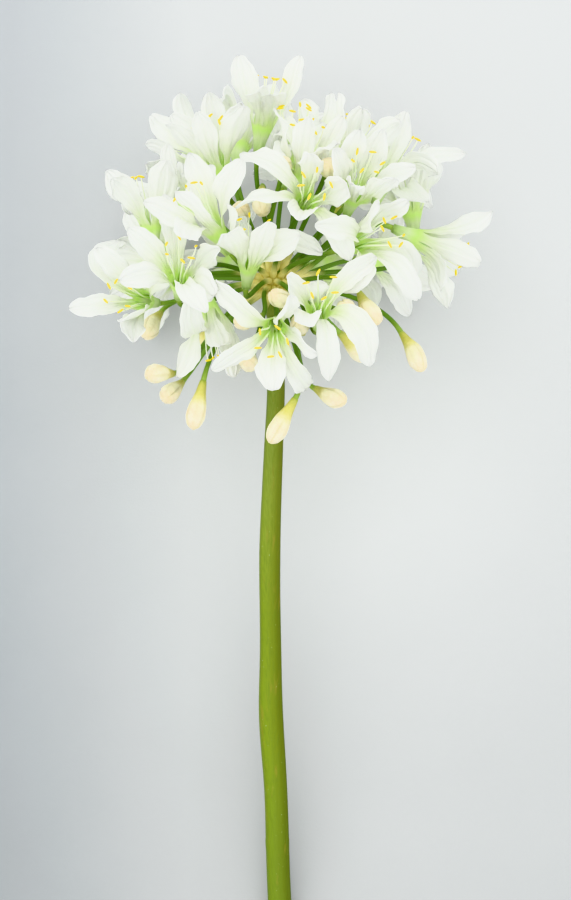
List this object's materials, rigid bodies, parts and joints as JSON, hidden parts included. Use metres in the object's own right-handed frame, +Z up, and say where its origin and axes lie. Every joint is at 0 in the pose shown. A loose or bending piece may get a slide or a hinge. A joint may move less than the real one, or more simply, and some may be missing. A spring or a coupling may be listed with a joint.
{
  "type": "agapanthus flower head",
  "caption": "Cut white agapanthus umbel: star florets with yellow anthers and cream buds on green stalks from the top of one stem, lying on a surface.",
  "frame": {"origin": "on the surface that the flower lies on, under the middle of its box", "axes": "+Z up from the surface, +Y from the cut end of the stem towards the flower head, +X to the right when seen from above with the head away from the viewer"},
  "size_m": [0.1681, 0.3454, 0.1407],
  "materials": {
    "stem_green": "smooth waxy green plant skin, faintly ribbed along its length",
    "petal_white": "matte white petal, green in the throat, with pale filaments and yellow anthers",
    "bud_cream": "matte cream bud with a yellow-green neck"
  },
  "bodies": {
    "root": {"scape": "stem_green", "floret_01": "petal_white", "floret_02": "petal_white", "floret_03": "petal_white", "floret_04": "petal_white", "floret_05": "petal_white", "floret_06": "petal_white", "floret_07": "petal_white", "floret_08": "petal_white", "floret_09": "petal_white", "floret_10": "petal_white", "floret_11": "petal_white", "floret_12": "petal_white", "floret_13": "petal_white", "floret_14": "petal_white", "floret_15": "petal_white", "floret_16": "petal_white", "floret_17": "petal_white", "floret_18": "petal_white", "floret_19": "petal_white", "floret_20": "petal_white", "floret_21": "petal_white", "floret_22": "petal_white", "floret_23": "petal_white", "floret_24": "petal_white", "floret_25": "petal_white", "floret_26": "petal_white", "floret_27": "petal_white", "floret_28": "petal_white", "floret_29": "petal_white", "floret_30": "petal_white", "bud_01": "bud_cream", "bud_02": "bud_cream", "bud_03": "bud_cream", "bud_04": "bud_cream", "bud_05": "bud_cream", "bud_06": "bud_cream", "bud_07": "bud_cream", "bud_08": "bud_cream", "bud_09": "bud_cream", "bud_10": "bud_cream", "bud_11": "bud_cream", "bud_12": "bud_cream", "bud_13": "bud_cream", "bud_14": "bud_cream", "bud_15": "bud_cream", "bud_16": "bud_cream", "bud_17": "bud_cream", "bud_18": "bud_cream", "bud_19": "bud_cream", "bud_20": "bud_cream", "bud_21": "bud_cream"}
  },
  "joints": []
}
